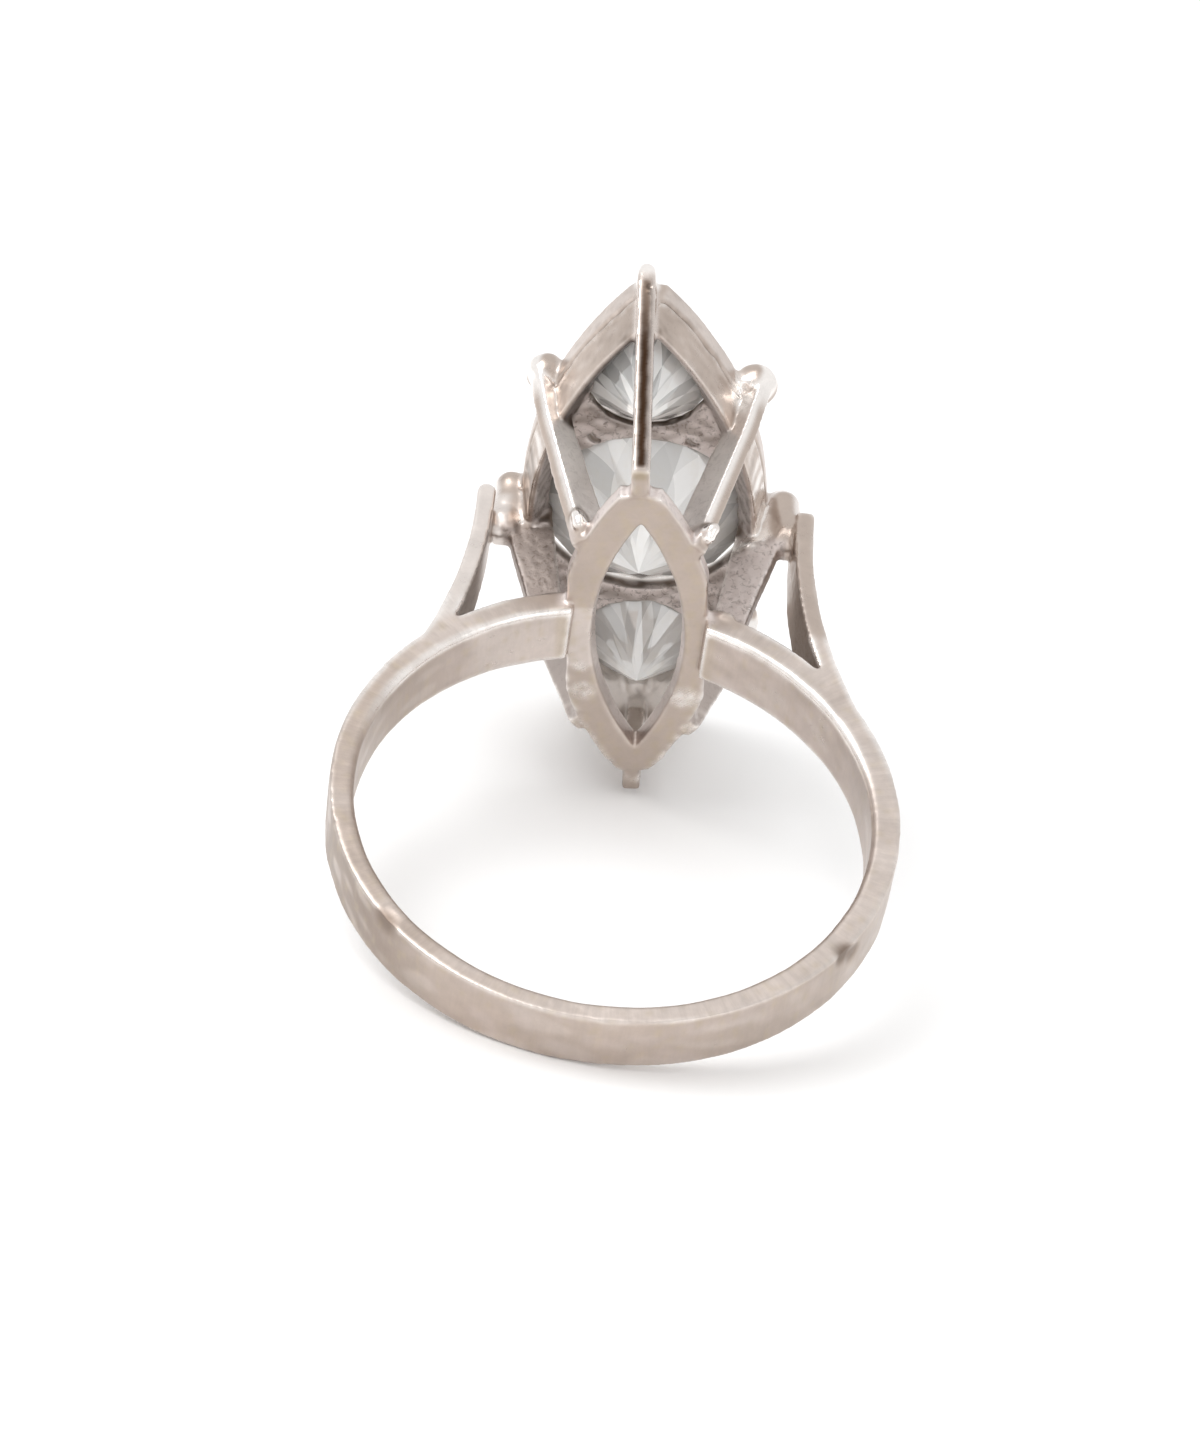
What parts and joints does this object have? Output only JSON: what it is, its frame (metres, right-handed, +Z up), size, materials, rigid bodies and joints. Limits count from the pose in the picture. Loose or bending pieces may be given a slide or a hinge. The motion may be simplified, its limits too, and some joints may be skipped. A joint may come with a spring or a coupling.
{
  "type": "three-stone ring",
  "caption": "Three-stone ring with a pointed oval head on plate claws, open gallery and forked shoulders; worn white metal.",
  "frame": {"origin": "centre of the bounding box's underside, on the floor the ring lies on", "axes": "+Y from the palm side of the hoop towards the head, +X across the hoop, +Z up; the finger hole's axis leans 21 degrees from +Z"},
  "size_m": [0.019, 0.0282, 0.0199],
  "materials": {
    "metal": "worn white gold, grey-pink, finely scratched, bright where it was rubbed or soldered",
    "stone": "clear polished facets"
  },
  "bodies": {
    "root": {"ring_mount": "metal", "middle_stone": "stone", "near_stone": "stone", "far_stone": "stone"}
  },
  "joints": []
}
